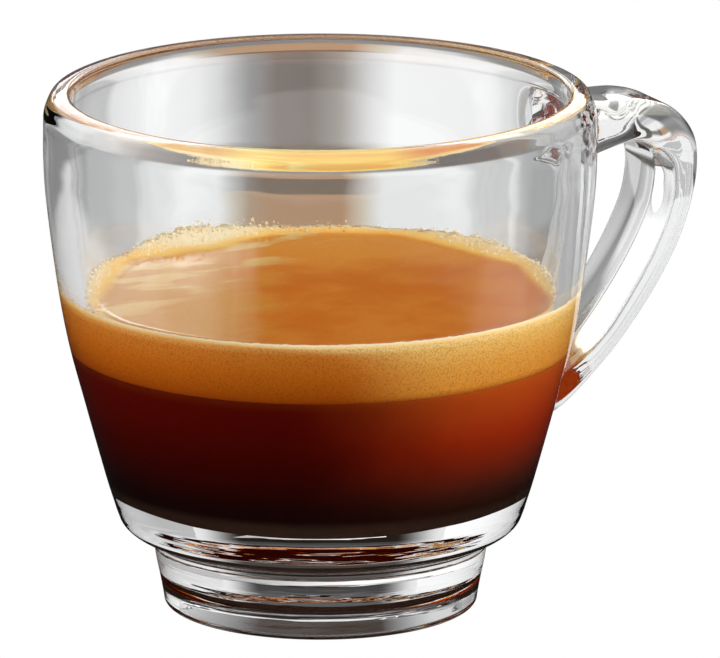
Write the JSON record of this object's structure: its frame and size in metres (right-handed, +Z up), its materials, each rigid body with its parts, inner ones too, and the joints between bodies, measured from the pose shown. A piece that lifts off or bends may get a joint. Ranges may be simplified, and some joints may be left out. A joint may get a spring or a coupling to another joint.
{
  "type": "glass cup of espresso",
  "caption": "Thick-walled clear glass coffee cup with a ring foot and strap handle, filled two thirds with espresso under a layer of crema.",
  "frame": {"origin": "middle of the whole outline, handle included, at the foot's resting face; the cup's own axis is 7.55 mm towards -X from it", "axes": "+X from the cup's axis along the handle, +Z up out of the cup's mouth"},
  "size_m": [0.0812, 0.066, 0.0626],
  "materials": {
    "glass": "clear, fire-polished",
    "coffee": "dark brown liquid, wet",
    "crema": "fine golden brown foam"
  },
  "bodies": {
    "root": {"cup_glass": "glass", "coffee": "coffee", "crema": "crema"}
  },
  "joints": []
}
